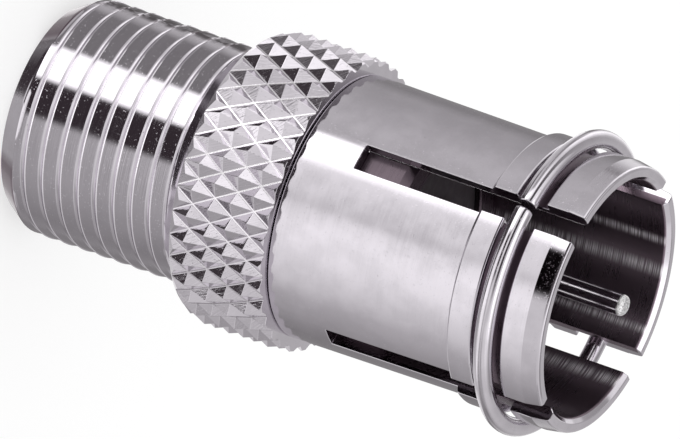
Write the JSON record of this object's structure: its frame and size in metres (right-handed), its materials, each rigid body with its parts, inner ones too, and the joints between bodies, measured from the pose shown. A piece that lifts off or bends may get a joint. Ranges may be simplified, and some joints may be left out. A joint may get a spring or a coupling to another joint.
{
  "type": "coaxial f connector adapter",
  "caption": "Coaxial F adapter with a threaded jack, a diamond-knurled collar and a slotted push-on plug held by a spring wire ring.",
  "frame": {"origin": "middle of the jack end face, on the turning axis", "axes": "+Z along the turning axis from the jack end to the push-on end; +X through the slot that the ring's split lies over"},
  "size_m": [0.0122, 0.0122, 0.0251],
  "materials": {
    "body_plating": "bright nickel plating over turned brass",
    "sleeve_plating": "bright nickel plating over turned brass",
    "spring_wire": "bright drawn spring wire",
    "contact_plating": "bright nickel plating over turned brass",
    "jack_plastic": "natural plastic, satin",
    "plug_plastic": "natural plastic, satin"
  },
  "bodies": {
    "root": {"jack_body": "body_plating", "push_on_sleeve": "sleeve_plating", "spring_ring": "spring_wire", "centre_contact": "contact_plating", "jack_insulator": "jack_plastic", "plug_insulator": "plug_plastic"}
  },
  "joints": []
}
